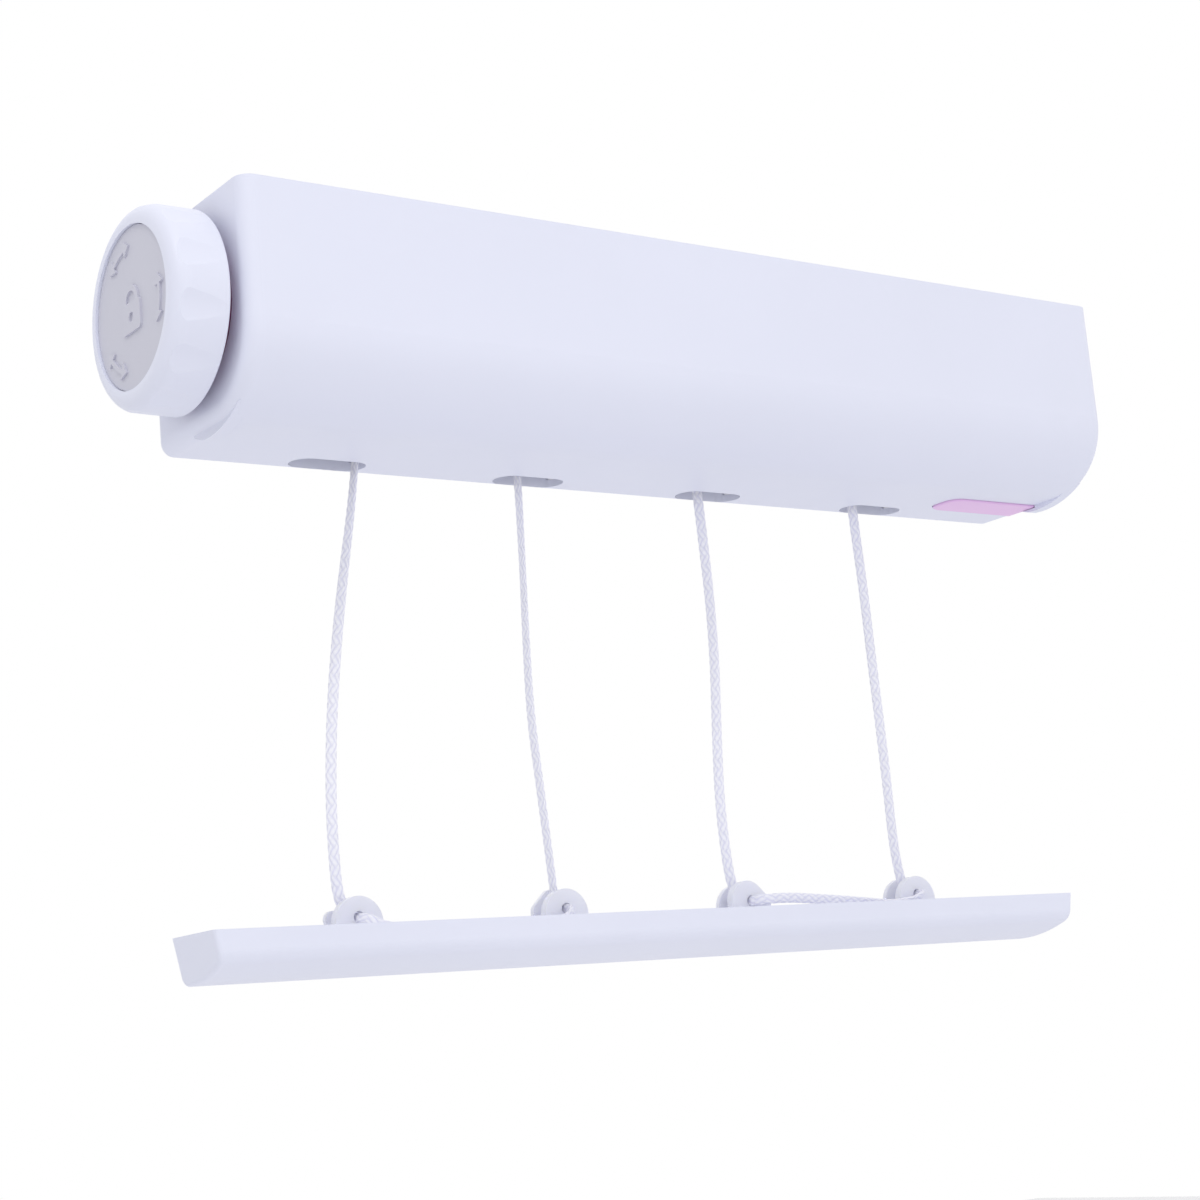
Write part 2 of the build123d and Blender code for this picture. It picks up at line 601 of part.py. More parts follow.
BAR_SCREW_X = [BAR_MIDDLE + shift for shift in (-160, -70, 70, 160)]
BAR_SCREW_Y = 25
BAR_BOSS_RADIUS = 3
BAR_END_RADIUS = 1.4
HOOK_BOSS_RADIUS = 3.8
HOOK_DEPTH = 10
HOOK_PLACES = [BAR_MIDDLE - HOOK_SPACING / 2, BAR_MIDDLE + HOOK_SPACING / 2]
with BuildPart() as bar_shell:
    extrude(bar_outline(BAR_LEFT, 0, BAR_TOP), amount=BAR_RIGHT - BAR_LEFT)
    extrude(bar_side(0, BAR_TOP), amount=BAR_SIDE_DEPTH, mode=Mode.INTERSECT)
    fillet(end_rim(bar_shell, 0), BAR_END_RADIUS)
    fillet(end_rim(bar_shell, -1), BAR_END_RADIUS)
    add(bar_hollow.part, mode=Mode.SUBTRACT)
    for x in BAR_SCREW_X:
        post(x, BAR_SCREW_Y, BAR_BOTTOM + BAR_WALL, TRAY_TOP - TRAY, BAR_BOSS_RADIUS)
        post(x, BAR_SCREW_Y, BAR_BOTTOM + BAR_WALL, TRAY_TOP - TRAY, SCREW_RADIUS, Mode.SUBTRACT)
    with BuildSketch(Plane.XZ.offset(-BACK_Y + BAR_WALL / 2)):
        with Locations(*[(x, HOOK_Z) for x in HOOK_PLACES]):
            Circle(HOOK_BOSS_RADIUS)
    extrude(amount=HOOK_DEPTH - BAR_WALL / 2)
    with BuildSketch(Plane.XZ.offset(-BACK_Y)):
        with Locations(*[(x, HOOK_Z) for x in HOOK_PLACES]):
            Circle(HOOK_RADIUS)
    extrude(amount=HOOK_DEPTH, mode=Mode.SUBTRACT)
save(bar_shell, "bar_shell")

# Cleats: nylon line eyes pegged through the tray, a plate with a hole in front and a lug behind a groove
CLEAT_SHIFT = -2
CLEAT_X = [x + CLEAT_SHIFT for x in SLOT_X]
CLEAT_HALF = 8.5
CLEAT_FRONT = (21.2, 24.2)
CLEAT_BACK = (29.2, 31)
CLEAT_BASE = 1.4
CORD_HOLE_Z = -216.4
CORD_HOLE_RADIUS = 2
PEG_HALF = 4
PEG_Y = (22.5, 27.5)
# Each plate wraps two circles, as (x from the hole, z, radius)
ROUND_EYE = [(0, -218.2, 8.5), (0, -219, 8.5)]
SLOPED_EYE = [(-1.4, -216.3, 7.1), (5.2, -217.2, 3.2)]
LOW_LUG = [(1, -218.4, 5), (-4.9, -216.1, 2.7)]
HIGH_LUG = [(-0.4, -212.6, 3.4), (-5.1, -216.2, 2.8)]
WIDE_LUG = [(-0.2, -218.2, 8.2), (0.2, -219, 8.2)]
CLEAT_SHAPES = [(ROUND_EYE, LOW_LUG), (ROUND_EYE, HIGH_LUG), (SLOPED_EYE, WIDE_LUG), (ROUND_EYE, WIDE_LUG)]


def cleat_plate(x, circles, y):
    """A plate across Y that wraps two circles and stands on the tray."""
    with BuildSketch(Plane.XZ.offset(-y[1])) as outline:
        for across, z, radius in circles:
            with Locations((x + across, z)):
                Circle(radius)
        make_hull()
        left = min(across - radius for across, _, radius in circles)
        right = max(across + radius for across, _, radius in circles)
        low = min(z for _, z, _ in circles)
        with Locations((x + (left + right) / 2, (low + TRAY_TOP) / 2)):
            Rectangle(right - left, low - TRAY_TOP)
        with Locations((x, TRAY_TOP - CLEAT_HALF)):
            Rectangle(4 * CLEAT_HALF, 2 * CLEAT_HALF, mode=Mode.SUBTRACT)
    extrude(outline.sketch, amount=y[1] - y[0])


with BuildPart() as bar_tray:
    block((BAR_LEFT + BAR_WALL + GAP, BAR_RIGHT - BAR_WALL - GAP),
          (BAR_FRONT + BAR_WALL + GAP, BACK_Y - BAR_WALL - GAP), (TRAY_TOP - TRAY, TRAY_TOP))
    extrude(bar_side(BAR_WALL + GAP, BAR_TOP), amount=BAR_SIDE_DEPTH, mode=Mode.INTERSECT)
    for x in CLEAT_X:
        block((x - PEG_HALF, x + PEG_HALF), PEG_Y, (TRAY_TOP - TRAY, TRAY_TOP), Mode.SUBTRACT)
    with Locations(*[(x, BAR_SCREW_Y, TRAY_TOP) for x in BAR_SCREW_X]):
        CounterSinkHole(SCREW_RADIUS, SCREW_HEAD, depth=TRAY, counter_sink_angle=90)
save(bar_tray, "bar_tray")

with BuildPart() as bar_tray_screws:
    for x in BAR_SCREW_X:
        post(x, BAR_SCREW_Y, BAR_BOTTOM + BAR_WALL, TRAY_TOP - SCREW_HEAD_HEIGHT, SCREW_RADIUS)
        with Locations((x, BAR_SCREW_Y, TRAY_TOP - SCREW_HEAD_HEIGHT / 2)):
            Cone(SCREW_RADIUS, SCREW_HEAD, SCREW_HEAD_HEIGHT)
        block((x - 1.8, x + 1.8), (BAR_SCREW_Y - 0.35, BAR_SCREW_Y + 0.35), (TRAY_TOP - 1.2, TRAY_TOP),
              Mode.SUBTRACT)
        block((x - 0.35, x + 0.35), (BAR_SCREW_Y - 1.8, BAR_SCREW_Y + 1.8), (TRAY_TOP - 1.2, TRAY_TOP),
              Mode.SUBTRACT)
save(bar_tray_screws, "bar_tray_screws")

for number, (x, (eye, lug)) in enumerate(zip(CLEAT_X, CLEAT_SHAPES), 1):
    with BuildPart() as cleat:
        block((x - CLEAT_HALF, x + CLEAT_HALF), (CLEAT_FRONT[0], CLEAT_BACK[1]), (TRAY_TOP, TRAY_TOP + CLEAT_BASE))
        cleat_plate(x, eye, CLEAT_FRONT)
        cleat_plate(x, lug, CLEAT_BACK)
        with BuildSketch(Plane.XZ.offset(-CLEAT_FRONT[1])):
            with Locations((x, CORD_HOLE_Z)):
                Circle(CORD_HOLE_RADIUS)
        extrude(amount=CLEAT_FRONT[1] - CLEAT_FRONT[0], mode=Mode.SUBTRACT)
        block((x - PEG_HALF, x + PEG_HALF), PEG_Y, (TRAY_TOP - TRAY - 1.2, TRAY_TOP))
    save(cleat, f"cleat_{number}")

# Cords: each runs down from one bay, through two cleats and up to the next bay
CORD_ROUTES = {
    "line_cord_a": [
        (-111.8, 25.0, -37), (-112.2, 25.2, -60), (-116.2, 25.0, -84), (-121.3, 24.8, -108),
        (-125.5, 25.1, -132), (-128.7, 25.4, -156), (-130.3, 26.0, -180), (-130.2, 26.5, -198),
        (-129.6, 26.6, -209.6), (-126.0, 27.2, -216.4), (-125.5, 16.8, -216.8), (-120.0, 14.2, -220.7),
        (-106, 13.6, -221.1), (-86, 14.8, -221.2), (-66, 13.8, -221.1), (-53.0, 14.2, -220.7),
        (-47.5, 16.8, -216.8), (-47.5, 27.2, -216.4), (-48.6, 26.6, -209), (-49.4, 26.4, -196.5),
        (-51.0, 25.8, -176), (-52.8, 25.4, -152), (-52.4, 25.0, -127), (-51.5, 24.8, -102),
        (-50.5, 25.1, -78), (-49.9, 25.3, -56), (-50.4, 25.0, -37),
    ],
    "line_cord_b": [
        (26.6, 25.0, -37), (27.0, 25.3, -60), (27.3, 24.8, -84), (28.1, 25.0, -108),
        (27.7, 25.3, -132), (25.9, 25.7, -156), (24.6, 26.2, -180), (25.2, 26.5, -198),
        (26.4, 26.6, -209.6), (30.0, 27.2, -216.4), (30.5, 16.8, -216.4), (41.0, 15.0, -216.0),
        (56, 15.6, -217.0), (74, 14.8, -218.6), (89, 15.2, -219.8), (99.6, 14.8, -219.2),
        (108.5, 16.8, -216.4), (108.5, 27.2, -216.4), (105.6, 26.6, -209), (104.2, 26.5, -196.5),
        (104.1, 26.2, -176), (103.2, 25.5, -152), (102.3, 25.1, -127), (101.8, 24.8, -102),
        (101.1, 25.1, -78), (100.8, 25.3, -56), (101.3, 25.0, -37),
    ],
}


def bend_radii(points):
    """One radius for each corner: 0.45 of its shorter run over the tangent of half the turn."""
    radii = []
    for before, at, after in zip(points, points[1:], points[2:]):
        into = Vector(*at) - Vector(*before)
        out = Vector(*after) - Vector(*at)
        turn = radians(into.get_angle(out))
        radii.append(0.45 * min(into.length, out.length) / tan(turn / 2))
    return radii


for label, route in CORD_ROUTES.items():
    radii = bend_radii(route)
    with BuildPart() as cord:
        with BuildLine() as path:
            FilletPolyline(*route, radius=radii)
        with BuildSketch(Plane(origin=path.line @ 0, z_dir=path.line % 0)):
            Circle(CORD / 2)
        sweep()
    length = sum(edge.length for edge in path.line.edges())
    ideal = length * pi * CORD**2 / 4
    print(label, "length", round(length, 1), "volume ratio", round(cord.part.volume / ideal, 4))
    print("  radii", [round(radius, 1) for radius in radii])
    save(cord, label)
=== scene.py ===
"""A four-line retractable clothesline, lit as a plain studio product shot."""

import json
import math

import bpy
import numpy as np
from mathutils import Matrix, Vector


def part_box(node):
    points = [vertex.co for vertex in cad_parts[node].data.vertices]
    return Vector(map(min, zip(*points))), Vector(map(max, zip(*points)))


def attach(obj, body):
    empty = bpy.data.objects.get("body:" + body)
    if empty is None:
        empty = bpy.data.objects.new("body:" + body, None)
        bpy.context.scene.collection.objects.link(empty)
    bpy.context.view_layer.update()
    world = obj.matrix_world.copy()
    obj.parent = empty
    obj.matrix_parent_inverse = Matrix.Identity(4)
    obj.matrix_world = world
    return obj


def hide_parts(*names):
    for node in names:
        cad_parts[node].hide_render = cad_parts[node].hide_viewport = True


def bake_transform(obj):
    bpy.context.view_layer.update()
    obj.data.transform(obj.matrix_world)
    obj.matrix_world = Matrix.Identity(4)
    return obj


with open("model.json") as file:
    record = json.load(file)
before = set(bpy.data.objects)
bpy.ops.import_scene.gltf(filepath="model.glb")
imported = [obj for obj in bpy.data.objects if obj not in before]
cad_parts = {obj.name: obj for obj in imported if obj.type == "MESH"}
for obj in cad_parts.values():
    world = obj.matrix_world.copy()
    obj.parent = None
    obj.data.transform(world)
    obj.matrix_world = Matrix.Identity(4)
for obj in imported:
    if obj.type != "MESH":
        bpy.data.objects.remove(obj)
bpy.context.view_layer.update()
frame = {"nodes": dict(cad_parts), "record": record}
NODES = frame["nodes"]
MM = 0.001


# ---------------------------------------------------------------- camera
CAMERA_PLACE = Vector((-0.49354, -0.62603, -0.26826))
CAMERA_YAW = 0.62860
CAMERA_PITCH = 0.19340
CAMERA_ROLL = -0.08870
CAMERA_LENS = 71.286
SENSOR = 36.0


def add_camera():
    """Looks up at the reel from the front left, below the bar."""
    ahead = Vector((
        math.sin(CAMERA_YAW) * math.cos(CAMERA_PITCH),
        math.cos(CAMERA_YAW) * math.cos(CAMERA_PITCH),
        math.sin(CAMERA_PITCH),
    ))
    level = Vector((math.cos(CAMERA_YAW), -math.sin(CAMERA_YAW), 0))
    upright = level.cross(ahead)
    right = level * math.cos(CAMERA_ROLL) + upright * math.sin(CAMERA_ROLL)
    up = upright * math.cos(CAMERA_ROLL) - level * math.sin(CAMERA_ROLL)
    turn = Matrix((right, up, -ahead)).transposed().to_4x4()
    data = bpy.data.cameras.new("camera")
    data.lens = CAMERA_LENS
    data.sensor_width = SENSOR
    camera = bpy.data.objects.new("camera", data)
    bpy.context.scene.collection.objects.link(camera)
    camera.matrix_world = Matrix.Translation(CAMERA_PLACE) @ turn
    bpy.context.scene.camera = camera


add_camera()


# ---------------------------------------------------------------- meshes
def mesh_object(name, vertices, faces, uvs=None):
    mesh = bpy.data.meshes.new(name)
    mesh.from_pydata([tuple(v) for v in vertices], [], faces)
    if uvs is not None:
        layer = mesh.uv_layers.new(name="UVMap")
        corner = np.zeros(len(mesh.loops), np.int64)
        mesh.loops.foreach_get("vertex_index", corner)
        layer.data.foreach_set("uv", np.asarray(uvs, np.float32)[corner].ravel())
    mesh.polygons.foreach_set("use_smooth", [True] * len(mesh.polygons))
    mesh.validate()
    piece = bpy.data.objects.new(name, mesh)
    bpy.context.scene.collection.objects.link(piece)
    return piece


def grid_faces(rows, columns, closed_rows=False):
    """Quads between rows of points; each row is a closed ring."""
    faces = []
    last = rows if closed_rows else rows - 1
    for row in range(last):
        below = row * columns
        above = ((row + 1) % rows) * columns
        for column in range(columns):
            beside = (column + 1) % columns
            faces.append((below + column, below + beside, above + beside, above + column))
    return faces


def capped_tube(name, rings, uvs=None):
    """A tube through rings of points, closed at both ends."""
    count, sides = rings.shape[:2]
    faces = grid_faces(count, sides)
    last = (count - 1) * sides
    faces.append(tuple(range(sides))[::-1])
    faces.append(tuple(range(last, last + sides)))
    return mesh_object(name, rings.reshape(-1, 3), faces, uvs)


# ---------------------------------------------------------------- cords
# Each cord makes two lines: down from a bay, through two cleats, up to the next bay.
CORD_WIDTH = 3.6 * MM
CORD_THICKNESS = 1.6 * MM
CORD_ROUTES = {
    "line_cord_a": [
        (-111.8, 25.0, -37), (-112.2, 25.2, -60), (-116.2, 25.0, -84), (-121.3, 24.8, -108),
        (-125.5, 25.1, -132), (-128.7, 25.4, -156), (-130.3, 26.0, -180), (-130.2, 26.5, -198),
        (-129.6, 26.6, -209.6), (-126.0, 27.2, -216.4), (-125.5, 16.8, -216.8), (-120.0, 14.2, -220.7),
        (-106, 13.6, -221.1), (-86, 14.8, -221.2), (-66, 13.8, -221.1), (-53.0, 14.2, -220.7),
        (-47.5, 16.8, -216.8), (-47.5, 27.2, -216.4), (-48.6, 26.6, -209), (-49.4, 26.4, -196.5),
        (-51.0, 25.8, -176), (-52.8, 25.4, -152), (-52.4, 25.0, -127), (-51.5, 24.8, -102),
        (-50.5, 25.1, -78), (-49.9, 25.3, -56), (-50.4, 25.0, -37),
    ],
    "line_cord_b": [
        (26.6, 25.0, -37), (27.0, 25.3, -60), (27.3, 24.8, -84), (28.1, 25.0, -108),
        (27.7, 25.3, -132), (25.9, 25.7, -156), (24.6, 26.2, -180), (25.2, 26.5, -198),
        (26.4, 26.6, -209.6), (30.0, 27.2, -216.4), (30.5, 16.8, -216.4), (41.0, 15.0, -216.0),
        (56, 15.6, -217.0), (74, 14.8, -218.6), (89, 15.2, -219.8), (99.6, 14.8, -219.2),
        (108.5, 16.8, -216.4), (108.5, 27.2, -216.4), (105.6, 26.6, -209), (104.2, 26.5, -196.5),
        (104.1, 26.2, -176), (103.2, 25.5, -152), (102.3, 25.1, -127), (101.8, 24.8, -102),
        (101.1, 25.1, -78), (100.8, 25.3, -56), (101.3, 25.0, -37),
    ],
}
# How far the flat of each cord has turned, as (share of its length, degrees)
CORD_TWISTS = {
    "line_cord_a": [(0, 85), (0.08, 85), (0.15, 62), (0.23, 34), (0.33, 24), (0.42, 32), (0.5, 40),
                    (0.6, 56), (0.74, 64), (0.86, 48), (0.93, 58), (1, 60)],
    "line_cord_b": [(0, 30), (0.09, 36), (0.17, 58), (0.27, 40), (0.37, 34), (0.43, 60), (0.49, 70),
                    (0.54, 112), (0.58, 98), (0.64, 84), (0.75, 98), (0.86, 112), (0.93, 106), (1, 100)],
}
CORD_STEP = 0.4 * MM
CORD_SIDES = 42
CORD_SQUARENESS = 0.8
BRAID_PITCH = 3.2 * MM
BRAID_STRANDS = 6
BRAID_RELIEF = 0.24 * MM
STRAND_FLATNESS = 2.2
STRAND_DIP = 0.25


def route_points(name, route):
    """Points along the smooth line of a route, read from its NURBS spline."""
    curve = bpy.data.curves.new(name + "_route", "CURVE")
    curve.dimensions = "3D"
    curve.resolution_u = 40
    spline = curve.splines.new("NURBS")
    spline.points.add(len(route) - 1)
    for point, place in zip(spline.points, route):
        point.co = (place[0] * MM, place[1] * MM, place[2] * MM, 1)
    spline.order_u = 3
    spline.use_endpoint_u = True
    holder = bpy.data.objects.new(name + "_route", curve)
    bpy.context.scene.collection.objects.link(holder)
    line = bpy.data.meshes.new_from_object(holder)
    points = np.array([vertex.co[:] for vertex in line.vertices])
    bpy.data.objects.remove(holder)
    bpy.data.meshes.remove(line)
    return points


def even_points(points, step):
    """The same line with its points evenly spaced."""
    runs = np.linalg.norm(np.diff(points, axis=0), axis=1)
    along = np.concatenate([[0], np.cumsum(runs)])
    count = int(along[-1] / step) + 1
    places = np.linspace(0, along[-1], count)
    return places, np.stack([np.interp(places, along, points[:, axis]) for axis in range(3)], axis=1)


def carried_frames(points):
    """A side direction at each point that turns no more than the line does."""
    ahead = np.gradient(points, axis=0)
    ahead /= np.linalg.norm(ahead, axis=1)[:, None]
    sides = np.zeros_like(points)
    side = np.array([1.0, 0, 0])
    for index, direction in enumerate(ahead):
        side = side - direction * (side @ direction)
        side /= np.linalg.norm(side)
        sides[index] = side
    return ahead, sides, np.cross(ahead, sides)


def braid_surface(along, around):
    """Relief of a flat braid, 1 on a strand and 0 in a groove: two families passing two over, two under."""
    first = along / BRAID_PITCH + around * BRAID_STRANDS
    second = along / BRAID_PITCH - around * BRAID_STRANDS
    on_top = (np.floor(first) + np.floor(second)) % 4 < 2
    across = np.where(on_top, first, second) % 1
    run = np.where(on_top, second, first) % 1
    crown = 1 - np.abs(2 * across - 1) ** STRAND_FLATNESS
    dip = 1 - STRAND_DIP * (1 - np.sin(np.pi * run))
    return crown * dip


def mark_strands(piece, relief):
    """Stores the relief on the mesh, where the braid's material reads it to paint shade into the grooves.
    """
    strands = piece.data.attributes.new("strand", "FLOAT", "POINT")
    strands.data.foreach_set("value", relief.astype(np.float32).ravel())


def add_cord(name, route, twists):
    centre_line = route_points(name, route)
    along, points = even_points(centre_line, CORD_STEP)
    _, sides, fronts = carried_frames(points)
    shares = along / along[-1]
    twist = np.radians(np.interp(shares, [t[0] for t in twists], [t[1] for t in twists]))
    wide = sides * np.cos(twist)[:, None] + fronts * np.sin(twist)[:, None]
    thin = fronts * np.cos(twist)[:, None] - sides * np.sin(twist)[:, None]
    around = np.arange(CORD_SIDES) / CORD_SIDES
    angle = 2 * np.pi * around
    section_wide = np.sign(np.cos(angle)) * np.abs(np.cos(angle)) ** CORD_SQUARENESS
    section_thin = np.sign(np.sin(angle)) * np.abs(np.sin(angle)) ** CORD_SQUARENESS
    relief = braid_surface(along[:, None], around[None, :])
    reach_wide = CORD_WIDTH / 2 + BRAID_RELIEF * (relief - 1)
    reach_thin = CORD_THICKNESS / 2 + BRAID_RELIEF * (relief - 1)
    rings = (
        points[:, None, :]
        + wide[:, None, :] * (section_wide * reach_wide)[:, :, None]
        + thin[:, None, :] * (section_thin * reach_thin)[:, :, None]
    )
    uvs = np.stack(np.broadcast_arrays(along[:, None] / MM, around[None, :]), axis=2).reshape(-1, 2)
    cord = capped_tube(name + "_braid", rings, uvs)
    mark_strands(cord, relief)
    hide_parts(name)
    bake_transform(cord)
    return cord


cords = [add_cord(name, CORD_ROUTES[name], CORD_TWISTS[name]) for name in CORD_ROUTES]


# ---------------------------------------------------------------- line wound on the drum
WINDING_CORE = 11 * MM
WINDING_PITCH = 4.15 * MM
WINDING_RELIEF = 0.7 * MM
WINDING_UNEVENNESS = 0.4 * MM
WINDING_WANDER = 0.15
WINDING_FLATNESS = 6
WINDING_ANGLES = 120
WINDING_COLUMNS = 96


def add_winding(number):
    """The outer layer of flat line in one bay, wound in a helix that wanders a little."""
    node = f"wound_line_{number}"
    low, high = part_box(node)
    axis = (low + high) / 2
    outer = (high.y - low.y) / 2
    width = high.x - low.x
    across = np.linspace(0, width, WINDING_COLUMNS)
    turn = np.arange(WINDING_ANGLES) / WINDING_ANGLES
    wander = 0.5 * np.sin(2 * np.pi * (turn[:, None] + across[None, :] / width) + number)
    place = across[None, :] / WINDING_PITCH + turn[:, None] + WINDING_WANDER * wander
    share = place % 1
    crown = 1 - np.abs(2 * share - 1) ** WINDING_FLATNESS
    layer = 0.5 + 0.5 * np.sin(np.floor(place) * 2.4 + number)
    radius = outer - WINDING_RELIEF * (1 - crown) - WINDING_UNEVENNESS * layer
    radius = np.pad(radius, ((0, 0), (1, 1)), constant_values=WINDING_CORE)
    across = np.concatenate([[0], across, [width]])
    angle = 2 * np.pi * turn[:, None]
    vertices = np.stack([
        np.broadcast_to(low.x + across[None, :], radius.shape),
        axis.y + radius * np.cos(angle),
        axis.z + radius * np.sin(angle),
    ], axis=2).reshape(-1, 3)
    columns = WINDING_COLUMNS + 2
    faces = grid_faces(WINDING_ANGLES, columns, closed_rows=True)
    uvs = np.stack([
        np.broadcast_to(turn[:, None] * 2 * np.pi * outer / MM, radius.shape),
        np.broadcast_to(across[None, :] / WINDING_PITCH / 2, radius.shape),
    ], axis=2).reshape(-1, 2)
    winding = mesh_object(node + "_turns", vertices, faces, uvs)
    # The crown of each turn also sets the braid's painted shade, grey in the grooves between the turns.
    mark_strands(winding, np.pad(crown, ((0, 0), (1, 1))))
    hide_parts(node)
    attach(winding, "drum")
    return winding


windings = [add_winding(number) for number in range(1, 5)]


# ---------------------------------------------------------------- release button's spring
SPRING_WIRE = 0.35 * MM
SPRING_TURNS = 5
SPRING_STEPS = 32
SPRING_SIDES = 12


def add_spring():
    """The spring behind the release button, as a fixed coil of wire."""
    low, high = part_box("button_spring")
    middle = (low + high) / 2
    radius = (high.x - low.x) / 2 - SPRING_WIRE
    bottom = low.z + SPRING_WIRE
    top = high.z - SPRING_WIRE
    turn = 2 * np.pi * np.linspace(0, SPRING_TURNS, SPRING_TURNS * SPRING_STEPS + 1)
    points = np.stack([
        middle.x + radius * np.cos(turn),
        middle.y + radius * np.sin(turn),
        np.linspace(bottom, top, len(turn)),
    ], axis=1)
    _, sides, fronts = carried_frames(points)
    angle = 2 * np.pi * np.arange(SPRING_SIDES) / SPRING_SIDES
    rings = (
        points[:, None, :]
        + SPRING_WIRE * sides[:, None, :] * np.cos(angle)[None, :, None]
        + SPRING_WIRE * fronts[:, None, :] * np.sin(angle)[None, :, None]
    )
    spring = capped_tube("button_spring_coils", rings)
    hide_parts("button_spring")
    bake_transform(spring)
    return spring


spring = add_spring()


# ---------------------------------------------------------------- materials
def new_material(name):
    material = bpy.data.materials.new(name)
    material.use_nodes = True
    tree = material.node_tree
    return material, tree, tree.nodes["Principled BSDF"]


def link(tree, start, end):
    tree.links.new(start, end)


def noise(tree, scale, detail=3.0, source=None):
    node = tree.nodes.new("ShaderNodeTexNoise")
    node.inputs["Scale"].default_value = scale
    node.inputs["Detail"].default_value = detail
    if source is None:
        source = tree.nodes.new("ShaderNodeTexCoord").outputs["Object"]
    link(tree, source, node.inputs["Vector"])
    return node.outputs["Fac"]


def spread(tree, value, low, high, start=0.3, end=0.7):
    node = tree.nodes.new("ShaderNodeMapRange")
    node.inputs["From Min"].default_value = start
    node.inputs["From Max"].default_value = end
    node.inputs["To Min"].default_value = low
    node.inputs["To Max"].default_value = high
    link(tree, value, node.inputs["Value"])
    return node.outputs["Result"]


def tint(tree, value, dark, light):
    node = tree.nodes.new("ShaderNodeMix")
    node.data_type = "RGBA"
    link(tree, value, node.inputs["Factor"])
    node.inputs["A"].default_value = (*dark, 1)
    node.inputs["B"].default_value = (*light, 1)
    return node.outputs["Result"]


def bump(tree, shader, height, strength, distance):
    node = tree.nodes.new("ShaderNodeBump")
    node.inputs["Strength"].default_value = strength
    node.inputs["Distance"].default_value = distance
    link(tree, height, node.inputs["Height"])
    link(tree, node.outputs["Normal"], shader.inputs["Normal"])


def shade(colour, amount):
    return tuple(min(1.0, channel * amount) for channel in colour)


def moulded_plastic(name, colour, roughness, grain=0.0):
    """Injection moulded plastic: faint flow tint, uneven gloss and, on the rougher parts, a fine grain."""
    material, tree, shader = new_material(name)
    flow = spread(tree, noise(tree, 9.0, 4.0), 0, 1)
    link(tree, tint(tree, flow, shade(colour, 0.985), shade(colour, 1.012)), shader.inputs["Base Color"])
    gloss = spread(tree, noise(tree, 40.0, 5.0), roughness * 0.92, roughness * 1.1)
    link(tree, gloss, shader.inputs["Roughness"])
    if grain:
        bump(tree, shader, noise(tree, 1500.0, 2.0), grain, 0.0002)
    return material


def milky_plastic(name, colour, roughness):
    """Unpigmented nylon, which light passes into and a little way through."""
    material = moulded_plastic(name, colour, roughness)
    shader = material.node_tree.nodes["Principled BSDF"]
    shader.inputs["Subsurface Weight"].default_value = 0.35
    shader.inputs["Subsurface Radius"].default_value = (0.005, 0.005, 0.006)
    shader.inputs["Subsurface Scale"].default_value = 1.0
    shader.inputs["Transmission Weight"].default_value = 0.12
    shader.inputs["IOR"].default_value = 1.53
    return material


def braided_line(name):
    """White polyester braid, with painted shade greying the grooves between its strands."""
    material, tree, shader = new_material(name)
    strand = tree.nodes.new("ShaderNodeAttribute")
    strand.attribute_name = "strand"
    # Painted shade: the braid's colour runs from grey in the grooves to white on the strand crowns,
    # following the stored relief.
    link(tree, tint(tree, strand.outputs["Fac"], (0.72, 0.72, 0.88), (0.95, 0.95, 1.0)),
         shader.inputs["Base Color"])
    uv = tree.nodes.new("ShaderNodeUVMap")
    uv.uv_map = "UVMap"
    fibres = tree.nodes.new("ShaderNodeMapping")
    fibres.inputs["Scale"].default_value = (2.5, 60.0, 1)
    link(tree, uv.outputs["UV"], fibres.inputs["Vector"])
    bump(tree, shader, noise(tree, 1.0, 3.0, fibres.outputs["Vector"]), 0.25, 0.0002)
    shader.inputs["Roughness"].default_value = 0.55
    shader.inputs["Sheen Weight"].default_value = 0.25
    shader.inputs["Sheen Roughness"].default_value = 0.4
    return material


def turned_metal(name, colour, roughness):
    material, tree, shader = new_material(name)
    marks = spread(tree, noise(tree, 260.0, 5.0), roughness * 0.8, roughness * 1.3)
    link(tree, marks, shader.inputs["Roughness"])
    patina = spread(tree, noise(tree, 40.0, 3.0), 0, 1)
    link(tree, tint(tree, patina, shade(colour, 0.9), colour), shader.inputs["Base Color"])
    bump(tree, shader, noise(tree, 900.0, 2.0), 0.05, 0.0002)
    shader.inputs["Metallic"].default_value = 1.0
    return material


MATERIALS = {
    "white_abs": moulded_plastic("white_abs", (0.767, 0.786, 0.914), 0.42),
    # The knob face is coloured darker than the white body: painted shade for a face turned away from the
    # light.
    "knob_face_abs": moulded_plastic("knob_face_abs", (0.60, 0.60, 0.69), 0.5),
    "grey_abs": moulded_plastic("grey_abs", (0.93, 0.93, 0.99), 0.5, 0.1),
    "magenta_abs": moulded_plastic("magenta_abs", (0.36, 0.10, 0.24), 0.4),
    "pink_abs": moulded_plastic("pink_abs", (0.80, 0.52, 0.84), 0.38),
    "nylon": milky_plastic("nylon", (0.86, 0.87, 1.0), 0.3),
    "frame_abs": moulded_plastic("frame_abs", (0.60, 0.61, 0.68), 0.5, 0.1),
    "rubber": moulded_plastic("rubber", (0.03, 0.03, 0.032), 0.8, 0.3),
    "braid": braided_line("braid"),
    "steel": turned_metal("steel", (0.60, 0.60, 0.62), 0.34),
    "bush": turned_metal("bush", (0.70, 0.48, 0.20), 0.42),
}
for subpart in frame["record"]["subparts"]:
    mesh = NODES[subpart["node"]].data
    mesh.materials.clear()
    mesh.materials.append(MATERIALS[subpart["material_slot"]])
for piece in cords + windings:
    piece.data.materials.append(MATERIALS["braid"])
spring.data.materials.append(MATERIALS["steel"])


# ---------------------------------------------------------------- stage and light
FLOOR_Z = -4.1
FLOOR_HALF = 40.0
LEFT_STRENGTH = 0.72
RIGHT_STRENGTH = 1.0
# The X of the directions between which the sky's strength changes
SKY_LEFT = -0.85
SKY_RIGHT = -0.2
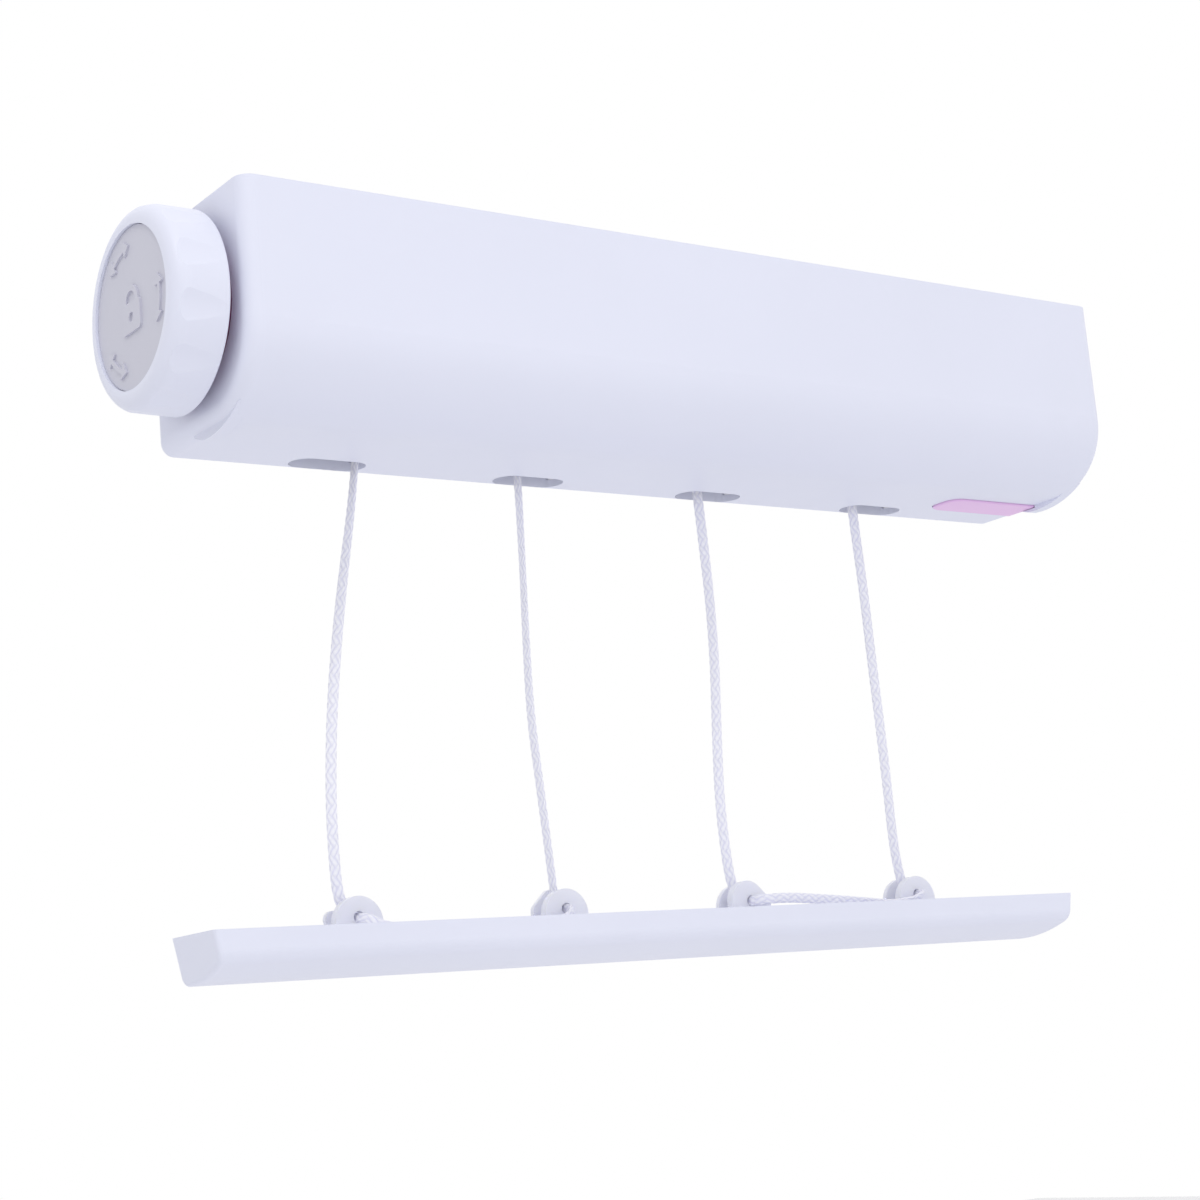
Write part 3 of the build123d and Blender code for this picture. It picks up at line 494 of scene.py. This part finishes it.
# Each lamp's place, the point it faces, its width in metres and its power in watts
LAMPS = {
    "key": ((-0.4, -1.5, 0.5), (0, 0, -0.08), 1.2, 1.15),
    "low_fill": ((-0.1, -0.8, -1.4), (0, 0, -0.08), 1.0, 1.15),
    "end_fill": ((-0.50, -0.30, 0.42), (-0.17, 0, -0.02), 0.3, 0.7),
}


def add_floor():
    """A pale floor far enough down for the bar to be pulled right out."""
    corners = [(-FLOOR_HALF, -FLOOR_HALF), (FLOOR_HALF, -FLOOR_HALF), (FLOOR_HALF, FLOOR_HALF),
               (-FLOOR_HALF, FLOOR_HALF)]
    mesh = bpy.data.meshes.new("floor")
    mesh.from_pydata([(x, y, FLOOR_Z) for x, y in corners], [], [(0, 1, 2, 3)])
    floor = bpy.data.objects.new("floor", mesh)
    bpy.context.scene.collection.objects.link(floor)
    mesh.materials.append(moulded_plastic("floor_paint", (0.88, 0.88, 0.90), 0.7))


def add_area_light(name, place, aim, size, power):
    data = bpy.data.lights.new(name, "AREA")
    data.shape = "DISK"
    data.size = size
    data.energy = power
    light = bpy.data.objects.new(name, data)
    bpy.context.scene.collection.objects.link(light)
    direction = Vector(aim) - Vector(place)
    light.rotation_euler = direction.to_track_quat("-Z", "Y").to_euler()
    light.location = place


def light_scene():
    """Soft even light, weaker from the knob's end; the background itself is white."""
    world = bpy.data.worlds.new("world")
    world.use_nodes = True
    tree = world.node_tree
    background = tree.nodes["Background"]
    direction = tree.nodes.new("ShaderNodeSeparateXYZ")
    link(tree, tree.nodes.new("ShaderNodeTexCoord").outputs["Generated"], direction.inputs["Vector"])
    strength = spread(tree, direction.outputs["X"], LEFT_STRENGTH, RIGHT_STRENGTH, SKY_LEFT, SKY_RIGHT)
    seen = tree.nodes.new("ShaderNodeMix")
    link(tree, tree.nodes.new("ShaderNodeLightPath").outputs["Is Camera Ray"], seen.inputs["Factor"])
    link(tree, strength, seen.inputs["A"])
    seen.inputs["B"].default_value = 1.0
    background.inputs["Color"].default_value = (1, 1, 1, 1)
    link(tree, seen.outputs["Result"], background.inputs["Strength"])
    bpy.context.scene.world = world
    for name, lamp in LAMPS.items():
        add_area_light(name, *lamp)
    bpy.context.scene.view_settings.view_transform = "Standard"
    bpy.context.scene.view_settings.look = "None"


add_floor()
light_scene()
